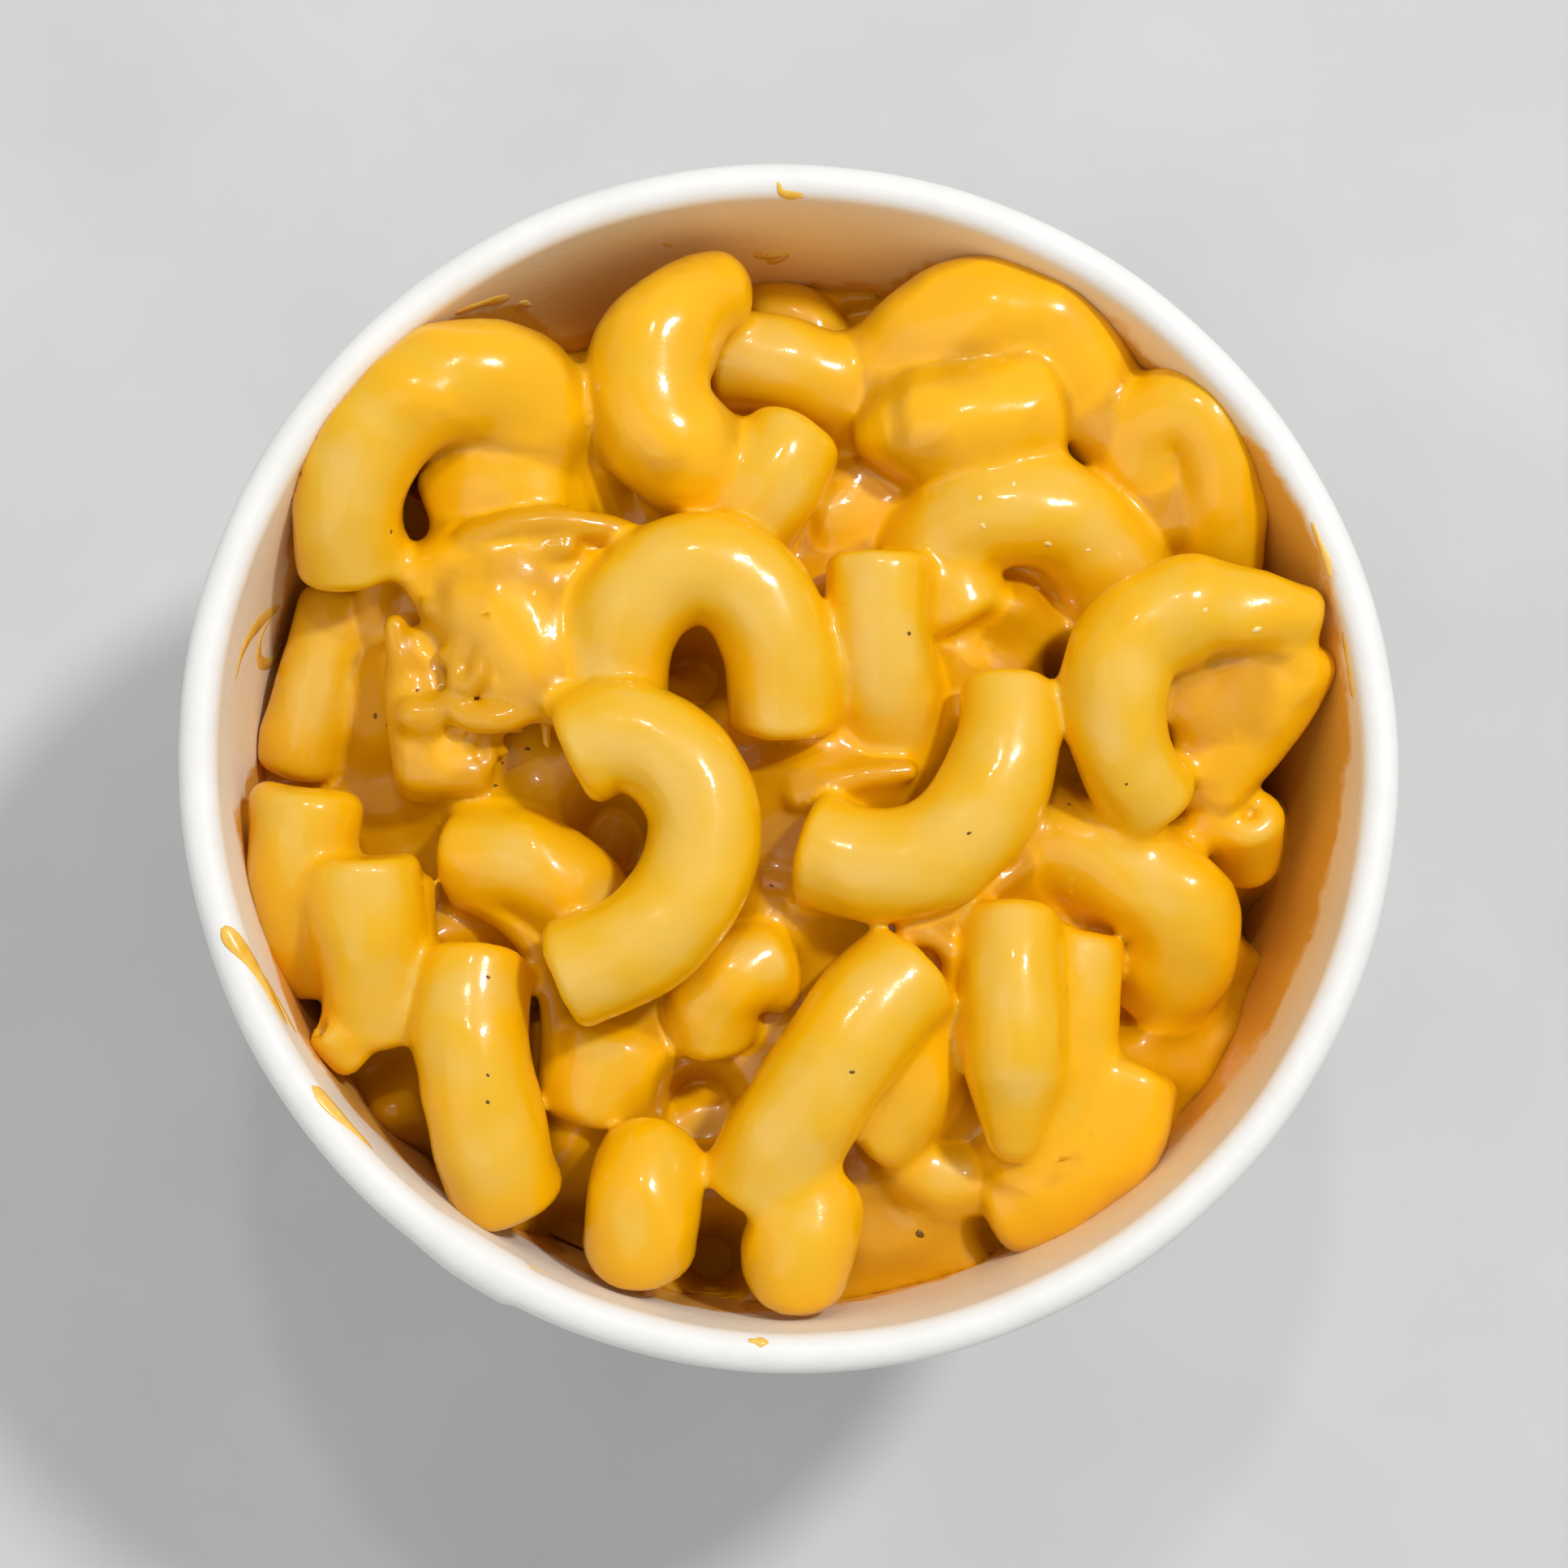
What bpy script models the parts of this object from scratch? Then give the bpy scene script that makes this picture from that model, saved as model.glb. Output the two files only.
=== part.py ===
# Macaroni cheese in a white paper tub: a tapered paper wall with a rolled rim, a recessed
# paper base, and the heap of sauced elbow macaroni that fills it.
# Lengths are metres, +Z is up, and the foot of the tub stands on z = 0.

import math

import bpy
from mathutils import Vector

MM = 0.001

# The tub
TUB_HEIGHT = 62 * MM
RIM_RADIUS = 47 * MM        # outside of the rolled rim
FOOT_RADIUS = 36 * MM       # outside of the foot
PAPER = 0.5 * MM
BEAD_RADIUS = 1.25 * MM     # middle of the paper, round the rolled rim
BEAD_SWEEP = 280            # degrees that the rim is rolled
FOOT_FOLD = 1.6 * MM        # width of the fold at the foot
SLEEVE_TOP = 6.2 * MM       # where the folded paper ends inside the foot
BASE_HEIGHT = 7.25 * MM     # middle of the recessed base
GAP = 0.3 * MM              # between pieces that touch
TURN_STEPS = 64

BEAD_CENTRE = (RIM_RADIUS - BEAD_RADIUS - PAPER / 2, TUB_HEIGHT - BEAD_RADIUS - PAPER / 2)
WALL_TOP_RADIUS = BEAD_CENTRE[0] - BEAD_RADIUS
WALL_FOOT_RADIUS = FOOT_RADIUS - PAPER / 2
TAPER = (WALL_TOP_RADIUS - WALL_FOOT_RADIUS) / BEAD_CENTRE[1]

# The food
HEAP_FLOOR = BASE_HEIGHT + PAPER / 2 + GAP
HEAP_CEILING = 68 * MM
TUBE = 4.4                  # radius of a sauced macaroni, in millimetres
HEAP_VOXEL = 1.2 * MM
HEAP_DETAIL = 0.065         # share of the heap's faces that is kept

# The sauce between the macaroni: its level, in millimetres, from the middle to the wall
SAUCE_LEVEL = [(0, 52), (16, 51.5), (28, 49.5), (36, 47.5), (50, 46)]

# The macaroni that show, each one a radius and the way along it, in whole or half millimetres:
# three points make an arc, two a straight piece, and more a smooth curve.
MACARONI = [
    # round the back of the tub
    (TUBE, [(-34.5, 18.5, 56), (-29.5, 30, 60), (-19.5, 28.5, 55)]),
    (3.8, [(-26.5, 20, 48), (-23.5, 22.5, 53), (-19, 21, 51)]),
    (3.6, [(-17, 36, 48), (-16, 27.5, 50), (-14, 21, 47)]),
    (3.0, [(-14, 18.5, 49), (-7.5, 23.5, 49)]),
    (4.6, [(-4, 38.5, 52), (-11.5, 30.5, 55), (-6, 24.5, 52)]),
    (4.0, [(-4, 35, 49), (1.5, 32.5, 50), (7, 29, 47)]),
    (3.0, [(-1.5, 38.5, 43), (4, 38, 43)]),
    (4.1, [(1.5, 25.5, 54), (-1, 21, 53), (-3, 17, 50)]),
    (3.0, [(2.5, 20.5, 49), (10, 22, 48)]),
    (TUBE, [(8, 27, 52), (15, 27.5, 54), (24, 30, 52)]),
    (4.6, [(11, 33.5, 51), (18, 35.5, 55), (23.5, 31, 53)]),
    (3.8, [(22.5, 36, 49), (26.5, 32.5, 49), (28.5, 28.5, 48)]),
    (TUBE, [(31.5, 26, 57), (33, 21.5, 56), (34.5, 17.5, 51)]),
    (3.5, [(30, 26.5, 54), (30.5, 20, 50)]),
    (TUBE, [(12.5, 16.5, 51), (19.5, 19.5, 54), (26.5, 14.5, 52)]),
    # the middle of the heap, where the topmost ones lie
    (TUBE, [(-14, 7, 55), (-7, 15.5, 58), (-1, 4, 55)]),
    (TUBE, [(-17.5, 0.5, 59), (-7, -6, 60), (-17.5, -16.5, 58)]),
    (4.0, [(8, 16, 56), (8, 9.5, 55), (9.5, 3, 52)]),
    (3.9, [(13, 15, 52), (17.5, 10.5, 50)]),
    (TUBE, [(17.5, 6.5, 57), (16, 1, 58), (13.5, -6, 58), (8, -8.5, 57), (2.5, -8, 55)]),
    (TUBE, [(28.5, -3, 56), (24.5, 2.5, 59), (26.5, 9.5, 60), (32.5, 11.5, 60), (39, 10.5, 60)]),
    (4.2, [(40, 9, 55), (38, 5.5, 50), (35, 0.5, 49)]),
    (3.0, [(36.5, -3.5, 51), (38, -7, 46)]),
    # the cheese lump at the left
    (3.6, [(-27.5, 12, 55), (-25, 15, 56), (-20.5, 15.5, 56), (-17.5, 15, 54)]),
    (4.5, [(-23, 12, 54), (-20.5, 8, 54), (-21, 5.5, 52)]),
    (4.0, [(-28, 9, 51), (-27, -1, 50)]),
    # down the left side
    (3.0, [(-36, 15.5, 47), (-36.5, 10.5, 47), (-38, 6, 46), (-38.5, 2, 45)]),
    (4.2, [(-37.5, -3, 54), (-38, -6.5, 53), (-38.5, -10.5, 49)]),
    (4.2, [(-33, -7.5, 55), (-32.5, -13, 54), (-32, -18.5, 50)]),
    (3.3, [(-25.5, -6.5, 50), (-21, -7.5, 52), (-16.5, -10, 51)]),
    # round the front of the tub
    (4.1, [(-24.5, -15.5, 52), (-25, -22, 54), (-24.5, -27.5, 53), (-22.5, -31, 52)]),
    (4.2, [(-14.5, -20, 48), (-15, -27.5, 47)]),
    (TUBE, [(-11.5, -31.5, 52), (-12, -35.5, 53), (-12.5, -38, 52)]),
    (2.9, [(-2.5, -16, 52), (-5.5, -17, 52), (-6, -21.5, 50)]),
    (TUBE, [(9, -16.5, 55), (4, -22, 56), (0, -28, 54), (-2.5, -32.5, 51)]),
    (4.0, [(10, -19.5, 49), (9.5, -25, 49), (6, -30, 47)]),
    (TUBE, [(1.5, -33, 51), (0.5, -37.5, 52), (0, -40.5, 51)]),
    (3.7, [(17, -12, 54), (16.5, -18, 54), (17, -24.5, 53), (17.5, -30, 51)]),
    (3.4, [(23.5, -14, 50), (23, -20.5, 50), (22, -27.5, 48)]),
    (3.9, [(26.5, -23.5, 50), (24.5, -29, 49), (21, -32.5, 47), (18, -34, 45)]),
    (4.4, [(21, -5.5, 49), (29, -10, 51), (31, -16, 47)]),
]

ARC_STEPS = 7


def clear_scene():
    for obj in list(bpy.data.objects):
        bpy.data.objects.remove(obj, do_unlink=True)


def material(name, colour, roughness):
    made = bpy.data.materials.new(name)
    made.use_nodes = True
    shader = made.node_tree.nodes["Principled BSDF"]
    shader.inputs["Base Color"].default_value = (*colour, 1)
    shader.inputs["Roughness"].default_value = roughness
    shader.inputs["Metallic"].default_value = 0
    made.diffuse_color = (*colour, 1)
    return made


def put_in(obj, collection):
    for old in list(obj.users_collection):
        old.objects.unlink(obj)
    collection.objects.link(obj)


def profile_object(name, points, collection):
    """An edge chain in the XZ plane, ready to be turned about Z."""
    mesh = bpy.data.meshes.new(name)
    corners = [(radius, 0, height) for radius, height in points]
    mesh.from_pydata(corners, [(i, i + 1) for i in range(len(corners) - 1)], [])
    obj = bpy.data.objects.new(name, mesh)
    collection.objects.link(obj)
    return obj


def turn(obj):
    screw = obj.modifiers.new("turn", "SCREW")
    screw.axis = "Z"
    screw.steps = TURN_STEPS
    screw.render_steps = TURN_STEPS
    screw.use_merge_vertices = True
    screw.merge_threshold = 0.00001


def paper_sheet(name, points, collection, paint):
    """Paper of even thickness, turned about the axis along the line of points."""
    obj = profile_object(name, points, collection)
    turn(obj)
    sheet = obj.modifiers.new("paper", "SOLIDIFY")
    sheet.thickness = PAPER
    sheet.offset = 0
    sheet.use_even_offset = True
    obj.data.materials.append(paint)
    return obj


def wall_radius(height):
    """Middle of the wall's paper at this height."""
    return WALL_FOOT_RADIUS + TAPER * height


def cup_wall(collection, paint):
    points = []
    for step in range(11):
        angle = math.radians(180 - BEAD_SWEEP * (10 - step) / 10)
        x = BEAD_CENTRE[0] + BEAD_RADIUS * math.cos(angle)
        z = BEAD_CENTRE[1] + BEAD_RADIUS * math.sin(angle)
        points.append((x, z))
    foot = PAPER / 2
    points.append((wall_radius(foot), foot))
    points.append((wall_radius(foot) - FOOT_FOLD, foot))
    points.append((wall_radius(SLEEVE_TOP) - FOOT_FOLD, SLEEVE_TOP))
    return paper_sheet("cup_wall", points, collection, paint)


def cup_base(collection, paint):
    """A flat disc of paper, recessed above the fold of the foot."""
    bpy.ops.mesh.primitive_cylinder_add(
        vertices=TURN_STEPS,
        radius=wall_radius(BASE_HEIGHT - PAPER / 2) - PAPER / 2 - GAP,
        depth=PAPER,
        location=(0, 0, BASE_HEIGHT),
    )
    base = bpy.context.object
    base.name = "cup_base"
    base.data.name = "cup_base"
    base.data.materials.append(paint)
    put_in(base, collection)
    return base


def arc_through(start, middle, end):
    """Points along the circle that passes through three points."""
    a = start - end
    b = middle - end
    normal = a.cross(b)
    if normal.length < 0.5:
        return [start, middle, end]
    towards = (a.length_squared * b - b.length_squared * a).cross(normal)
    centre = end + towards / (2 * normal.length_squared)
    spin = normal.normalized()
    arm = start - centre
    side = spin.cross(arm)
    sweep = math.atan2((end - centre).dot(side), (end - centre).dot(arm))
    half = math.atan2((middle - centre).dot(side), (middle - centre).dot(arm))
    if half < 0:
        half += math.tau
    if sweep < 0:
        sweep += math.tau
    if half > sweep:
        half -= math.tau
        sweep -= math.tau
    turns = [sweep * step / ARC_STEPS for step in range(ARC_STEPS + 1)]
    return [centre + arm * math.cos(angle) + side * math.sin(angle) for angle in turns]


def smooth_through(corners):
    """Points along a smooth curve that passes through all the corners."""
    padded = [2 * corners[0] - corners[1], *corners, 2 * corners[-1] - corners[-2]]
    points = []
    for p0, p1, p2, p3 in zip(padded, padded[1:], padded[2:], padded[3:]):
        for step in range(3):
            t = step / 3
            slope = (p2 - p0) * t
            bend = (2 * p0 - 5 * p1 + 4 * p2 - p3) * t ** 2
            twist = (3 * p1 - p0 - 3 * p2 + p3) * t ** 3
            points.append(p1 + (slope + bend + twist) / 2)
    return points + [corners[-1]]


def macaroni_curves():
    """All the macaroni as one curve object with a round bevel and closed ends."""
    curve = bpy.data.curves.new("macaroni", "CURVE")
    curve.dimensions = "3D"
    curve.bevel_depth = MM
    curve.bevel_resolution = 2
    curve.use_fill_caps = True
    for radius, way in MACARONI:
        corners = [Vector(point) for point in way]
        if len(corners) == 3:
            points = arc_through(*corners)
        elif len(corners) > 3:
            points = smooth_through(corners)
        else:
            points = corners
        spline = curve.splines.new("POLY")
        spline.points.add(len(points) - 1)
        for knot, point in zip(spline.points, points):
            knot.co = (*(point * MM), 1)
            knot.radius = radius
    obj = bpy.data.objects.new("macaroni", curve)
    bpy.context.scene.collection.objects.link(obj)
    return obj


def as_mesh(obj):
    """A plain mesh copy of an object as its modifiers leave it; the object itself is removed."""
    graph = bpy.context.evaluated_depsgraph_get()
    mesh = bpy.data.meshes.new_from_object(obj.evaluated_get(graph))
    made = bpy.data.objects.new(obj.name + "_mesh", mesh)
    bpy.context.scene.collection.objects.link(made)
    bpy.data.objects.remove(obj, do_unlink=True)
    return made


def sauce_body():
    """The sauce that lies between the macaroni, wider than the tub so that it can be trimmed."""
    wide = SAUCE_LEVEL[-1][0] * MM
    points = [(radius * MM, level * MM) for radius, level in SAUCE_LEVEL]
    points += [(wide, HEAP_FLOOR - 4 * MM), (0, HEAP_FLOOR - 4 * MM)]
    obj = profile_object("sauce", points, bpy.context.scene.collection)
    turn(obj)
    return as_mesh(obj)


def inside_of_tub(cutters):
    """The room inside the tub, less the gap, which trims the heap."""
    inset = PAPER / 2 + GAP
    points = [
        (0, HEAP_CEILING),
        (wall_radius(HEAP_CEILING) - inset, HEAP_CEILING),
        (wall_radius(HEAP_FLOOR) - inset, HEAP_FLOOR),
        (0, HEAP_FLOOR),
    ]
    obj = profile_object("inside_of_tub", points, cutters)
    turn(obj)
    obj.hide_render = True
    obj.display_type = "WIRE"
    return obj


def macaroni_heap(collection, cutters, paint):
    """One solid out to the uneven top: sauce and macaroni grown together, trimmed by the tub."""
    pieces = [sauce_body(), as_mesh(macaroni_curves())]
    bpy.ops.object.select_all(action="DESELECT")
    for piece in pieces:
        piece.select_set(True)
    heap = pieces[0]
    bpy.context.view_layer.objects.active = heap
    bpy.ops.object.join()
    heap.name = "macaroni_heap"
    heap.data.name = "macaroni_heap"
    put_in(heap, collection)
    grown = heap.modifiers.new("grown_together", "REMESH")
    grown.mode = "VOXEL"
    grown.voxel_size = HEAP_VOXEL
    coarser = heap.modifiers.new("coarser", "DECIMATE")
    coarser.ratio = HEAP_DETAIL
    trim = heap.modifiers.new("trim", "BOOLEAN")
    trim.operation = "INTERSECT"
    trim.solver = "EXACT"
    trim.object = inside_of_tub(cutters)
    heap.data.materials.clear()
    heap.data.materials.append(paint)
    return heap


def main():
    clear_scene()
    bpy.context.scene.unit_settings.system = "METRIC"
    tub = bpy.data.collections.new("macaroni_cheese_tub")
    cutters = bpy.data.collections.new("cutters")
    bpy.context.scene.collection.children.link(tub)
    bpy.context.scene.collection.children.link(cutters)
    paper = material("white_paper", (0.86, 0.86, 0.85), 0.55)
    liner = material("paper_liner", (0.86, 0.84, 0.81), 0.4)
    cheese = material("cheese_sauce", (0.87, 0.43, 0.03), 0.3)
    pieces = [
        cup_wall(tub, paper),
        cup_base(tub, liner),
        macaroni_heap(tub, cutters, cheese),
    ]
    for piece in pieces:
        piece.data.polygons.foreach_set("use_smooth", [True] * len(piece.data.polygons))


main()
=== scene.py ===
import math

import bmesh
import bpy
import numpy as np
import openvdb
from mathutils import Matrix, Vector


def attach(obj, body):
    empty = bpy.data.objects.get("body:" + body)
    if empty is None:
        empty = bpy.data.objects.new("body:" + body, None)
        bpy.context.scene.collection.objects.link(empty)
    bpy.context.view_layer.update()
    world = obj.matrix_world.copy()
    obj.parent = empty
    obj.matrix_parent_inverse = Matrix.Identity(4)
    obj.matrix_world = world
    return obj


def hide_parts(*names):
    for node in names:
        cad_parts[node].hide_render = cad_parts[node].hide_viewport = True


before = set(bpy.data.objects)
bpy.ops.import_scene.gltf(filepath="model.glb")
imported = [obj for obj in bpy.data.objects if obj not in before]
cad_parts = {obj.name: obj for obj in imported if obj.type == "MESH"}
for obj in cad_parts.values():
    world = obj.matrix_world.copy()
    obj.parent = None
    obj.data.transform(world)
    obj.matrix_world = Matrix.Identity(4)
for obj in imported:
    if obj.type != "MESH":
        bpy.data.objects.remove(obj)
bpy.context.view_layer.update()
mm = 0.001
print("frame loaded")


def meshObject(name, points, faces, smooth=True):
    data = bpy.data.meshes.new(name)
    data.from_pydata(points, [], faces)
    data.update()
    data.polygons.foreach_set("use_smooth", [smooth] * len(data.polygons))
    made = bpy.data.objects.new(name, data)
    bpy.context.scene.collection.objects.link(made)
    return made


def newMaterial(name):
    made = bpy.data.materials.new(name)
    made.use_nodes = True
    tree = made.node_tree
    return made, tree, tree.nodes["Principled BSDF"]


def addNode(tree, kind, settings=None, **inputs):
    node = tree.nodes.new(kind)
    for key, value in (settings or {}).items():
        setattr(node, key, value)
    for key, value in inputs.items():
        node.inputs[key.replace("_", " ")].default_value = value
    return node


def noiseNode(tree, scale, detail=3.0, rough=0.5, distort=0.0):
    place = addNode(tree, "ShaderNodeTexCoord")
    noise = addNode(tree, "ShaderNodeTexNoise")
    noise.inputs["Scale"].default_value = scale
    noise.inputs["Detail"].default_value = detail
    noise.inputs["Roughness"].default_value = rough
    noise.inputs["Distortion"].default_value = distort
    tree.links.new(place.outputs["Object"], noise.inputs["Vector"])
    return noise


def ramp(tree, source, stops):
    node = addNode(tree, "ShaderNodeValToRGB")
    band = node.color_ramp
    while len(band.elements) < len(stops):
        band.elements.new(0.5)
    for element, (place, colour) in zip(band.elements, stops):
        element.position = place
        element.color = (*colour, 1) if len(colour) == 3 else colour
    tree.links.new(source, node.inputs["Fac"])
    return node


def grey(value):
    return (value, value, value)


def mixColour(tree, factor, first, second, blend="MIX"):
    node = addNode(tree, "ShaderNodeMix", {"data_type": "RGBA", "blend_type": blend})
    for source, socket in ((factor, 0), (first, 6), (second, 7)):
        if isinstance(source, (tuple, float)):
            node.inputs[socket].default_value = source
        else:
            tree.links.new(source, node.inputs[socket])
    return node.outputs[2]


def fromSrgb(red, green, blue):
    def one(part):
        part /= 255
        return part / 12.92 if part <= 0.04045 else ((part + 0.055) / 1.055) ** 2.4
    return (one(red), one(green), one(blue))


cameraSet = {
    "distance": 0.260,
    "tilt": 9.5,          # degrees away from straight down
    "leans": 242.9,       # direction of the lean, anticlockwise from +X
    "target": (-0.00104, -0.00265, 0.062),
    "lens": 78.4,
}


def addCamera():
    tilt = math.radians(cameraSet["tilt"])
    leans = math.radians(cameraSet["leans"])
    away = Vector((math.sin(tilt) * math.cos(leans), math.sin(tilt) * math.sin(leans), math.cos(tilt)))
    right = Vector((1, 0, 0)) - away * away.x
    right.normalize()
    up = away.cross(right)
    data = bpy.data.cameras.new("camera")
    data.lens = cameraSet["lens"]
    data.sensor_width = 36
    data.clip_start = 0.01
    camera = bpy.data.objects.new("camera", data)
    turn = Matrix((right, up, away)).transposed().to_4x4()
    spot = Vector(cameraSet["target"]) + away * cameraSet["distance"]
    camera.matrix_world = Matrix.Translation(spot) @ turn
    bpy.context.scene.collection.objects.link(camera)
    bpy.context.scene.camera = camera


lightSet = {
    "keyFrom": (0.32, 0.25, 0.74),
    "keySize": 0.085,
    "keyPower": 3.3,
    "glintFrom": (-0.05, 0.34, 0.78),
    "glintSize": 0.05,
    "glintPower": 0.7,
    "fillFrom": (-0.5, -0.25, 0.75),
    "fillSize": 0.9,
    "fillPower": 1.4,
    "worldStrength": 0.5,
}


def addLamp(name, place, size, power):
    data = bpy.data.lights.new(name, "AREA")
    data.shape = "DISK"
    data.size = size
    data.energy = power
    lamp = bpy.data.objects.new(name, data)
    lamp.location = place
    lamp.rotation_euler = (Vector(place) - Vector((0, 0, 0.05))).to_track_quat("Z", "Y").to_euler()
    bpy.context.scene.collection.objects.link(lamp)


def addLights():
    addLamp("keyLamp", lightSet["keyFrom"], lightSet["keySize"], lightSet["keyPower"])
    addLamp("glintLamp", lightSet["glintFrom"], lightSet["glintSize"], lightSet["glintPower"])
    addLamp("fillLamp", lightSet["fillFrom"], lightSet["fillSize"], lightSet["fillPower"])
    world = bpy.data.worlds.new("studio")
    world.use_nodes = True
    world.node_tree.nodes["Background"].inputs["Color"].default_value = (1, 1, 1, 1)
    world.node_tree.nodes["Background"].inputs["Strength"].default_value = lightSet["worldStrength"]
    bpy.context.scene.world = world
    bpy.context.scene.view_settings.view_transform = "Standard"


addCamera()
addLights()
print("camera and lights set")


tubSet = {
    "height": 62.0,       # millimetres, as all sizes of the food and tub below
    "rimRadius": 46.96,
    "footRadius": 36.0,
    "paper": 0.5,
    "beadRadius": 1.25,
    "beadSweep": 285,
    "footFold": 1.6,
    "sleeveTop": 6.2,
    "seamAt": 241.5,      # degrees, where the side seam's edge runs up the wall
    "seamWidth": 10.0,    # degrees of overlap
    "waves": [(0.05, 3, 1), (0.035, 7, 0), (0.02, 19, 2)],  # size, times round, start
    "seamStep": 0.3,
    "around": 288,
}
beadCentre = (
    tubSet["rimRadius"] - tubSet["beadRadius"] - tubSet["paper"] / 2,
    tubSet["height"] - tubSet["beadRadius"] - tubSet["paper"] / 2,
)
wallFoot = tubSet["footRadius"] - tubSet["paper"] / 2
wallTaper = (beadCentre[0] - tubSet["beadRadius"] - wallFoot) / beadCentre[1]


def wallMiddle(height):
    return wallFoot + wallTaper * height


def wallInside(height):
    return wallMiddle(height) - tubSet["paper"] / 2


def paperProfile():
    # middle of the paper, from the rolled end over the rim, down the wall and round the foot's fold
    line = []
    for step in range(25):
        angle = math.radians(180 - tubSet["beadSweep"] * (24 - step) / 24)
        line.append((
            beadCentre[0] + tubSet["beadRadius"] * math.cos(angle),
            beadCentre[1] + tubSet["beadRadius"] * math.sin(angle),
        ))
    foot = tubSet["paper"] / 2
    for step in range(1, 25):
        height = beadCentre[1] + (foot + 0.5 - beadCentre[1]) * step / 24
        line.append((wallMiddle(height), height))
    fold = tubSet["footFold"]
    for step in range(1, 5):
        angle = math.pi / 2 * step / 4
        line.append((wallMiddle(foot) - 0.5 + 0.5 * math.cos(angle), foot + 0.5 - 0.5 * math.sin(angle)))
    line.append((wallMiddle(foot) - fold + 0.4, foot))
    line.append((wallMiddle(foot) - fold, foot + 0.3))
    line.append((wallMiddle(tubSet["sleeveTop"]) - fold, tubSet["sleeveTop"]))
    return line


def skins(line, thick):
    # Both faces of a sheet whose middle follows the line, as one closed loop of (radius, height).
    outer = []
    inner = []
    for index, (radius, height) in enumerate(line):
        before = line[max(index - 1, 0)]
        after = line[min(index + 1, len(line) - 1)]
        along = Vector((after[0] - before[0], after[1] - before[1])).normalized()
        side = Vector((-along.y, along.x)) * thick / 2
        outer.append((radius + side.x, height + side.y))
        inner.append((radius - side.x, height - side.y))
    return outer + inner[::-1]


def seamLift(angle):
    # the lapped paper swells slowly and drops off at the seam's edge
    back = (tubSet["seamAt"] - math.degrees(angle)) % 360
    if back > tubSet["seamWidth"]:
        return 0.0
    rise = 1 - back / tubSet["seamWidth"]
    return tubSet["seamStep"] * min(1.0, 2.2 * rise)


def addTub():
    loop = skins(paperProfile(), tubSet["paper"])
    half = len(loop) // 2
    around = tubSet["around"]
    points = []
    for turn in range(around):
        angle = math.tau * (turn + (tubSet["seamAt"] / 360 * around) % 1) / around
        lift = seamLift(angle)
        wave = sum(size * math.sin(times * angle + start) for size, times, start in tubSet["waves"])
        for index, (radius, height) in enumerate(loop):
            upper = min(1.0, max(0.0, (height - 8) / 40))
            reach = min(radius + (wave - 0.06) * upper, tubSet["rimRadius"] - 0.02)
            onRim = index > 2 * half - 26
            if onRim:
                out = Vector((radius - beadCentre[0], height - beadCentre[1])).normalized() * lift
                reach += out.x
                height += out.y
            elif index < half:
                reach += lift * upper
            points.append((reach * math.cos(angle) * mm, reach * math.sin(angle) * mm, height * mm))
    faces = []
    for turn in range(around):
        here = turn * len(loop)
        there = (turn + 1) % around * len(loop)
        for index in range(len(loop)):
            after = (index + 1) % len(loop)
            faces.append((here + index, here + after, there + after, there + index))
    tub = meshObject("paperTub", points, faces)
    film = []
    paintedBounce = []
    for number in range(len(points)):
        step = number // len(loop) + (tubSet["seamAt"] / 360 * around) % 1
        angle = math.degrees(math.tau * step / around) % 360
        radius, height = loop[number % len(loop)]
        inside = number % len(loop) >= half and radius < beadCentre[0]
        film.append(filmAt(angle, height) if inside and height > 12 else 0.0)
        # painted warm bounce light from the sauce, strongest low down at the back and right
        paintedBounce.append(paintedBounceAt(angle, height) if inside and height > 12 else 0.0)
    for title, values in (("film", film), ("paintedBounce", paintedBounce)):
        tub.data.attributes.new(title, "FLOAT", "POINT").data.foreach_set("value", values)
    tub.data.materials.append(paperMaterial(stainedAndBounceLit=True))
    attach(tub, "root")
    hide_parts("cup_wall")
    return tub


# how high the film of sauce reaches up the inside, by angle, and how strongly painted warm bounce light from
# the sauce tints the paper above it, by side
filmEdge = [
    (0, 58.5), (11, 60.2), (19, 61), (28, 61.3), (35, 60.6), (41, 57.4), (50, 57.8), (58, 57.7),
    (64, 56.2), (69, 55.5), (74, 53.5), (78, 48), (90, 45), (109, 41.5), (115, 43), (120, 54),
    (127, 58.6), (140, 60), (150, 60), (158, 52), (168, 45), (178, 48), (185, 56), (194, 54), (202, 54),
    (210, 56.3), (228, 52), (240, 47), (250, 51), (262, 52), (282, 46), (296, 47), (310, 50), (322, 52),
    (342, 55.5), (355, 57), (360, 58.5),
]
paintedBounceSides = [
    (0, 1.0), (70, 1.0), (110, 1.0), (140, 0.7), (180, 0.3), (230, 0.12), (270, 0.2), (310, 0.6), (360, 1.0),
]


def filmAt(angle, height):
    spots, tops = zip(*filmEdge)
    return min(1.0, max(0.0, (np.interp(angle, spots, tops) - height) / 3.0 + 0.5))


def paintedBounceAt(angle, height):
    spots, shares = zip(*paintedBounceSides)
    share = np.interp(angle, spots, shares)
    return share * float(np.interp(height, [40, 52, 59, 60.8, 61.6], [1.0, 0.85, 0.6, 0.4, 0.0]))


# the warm tint in this set is painted bounce light from the sauce; the film is a real sauce stain
paperSet = {
    "white": fromSrgb(236, 235, 232),
    "shade": fromSrgb(231, 230, 226),
    "paintedBounce": fromSrgb(254, 214, 118),
    "film": fromSrgb(234, 170, 34),
}


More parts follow.
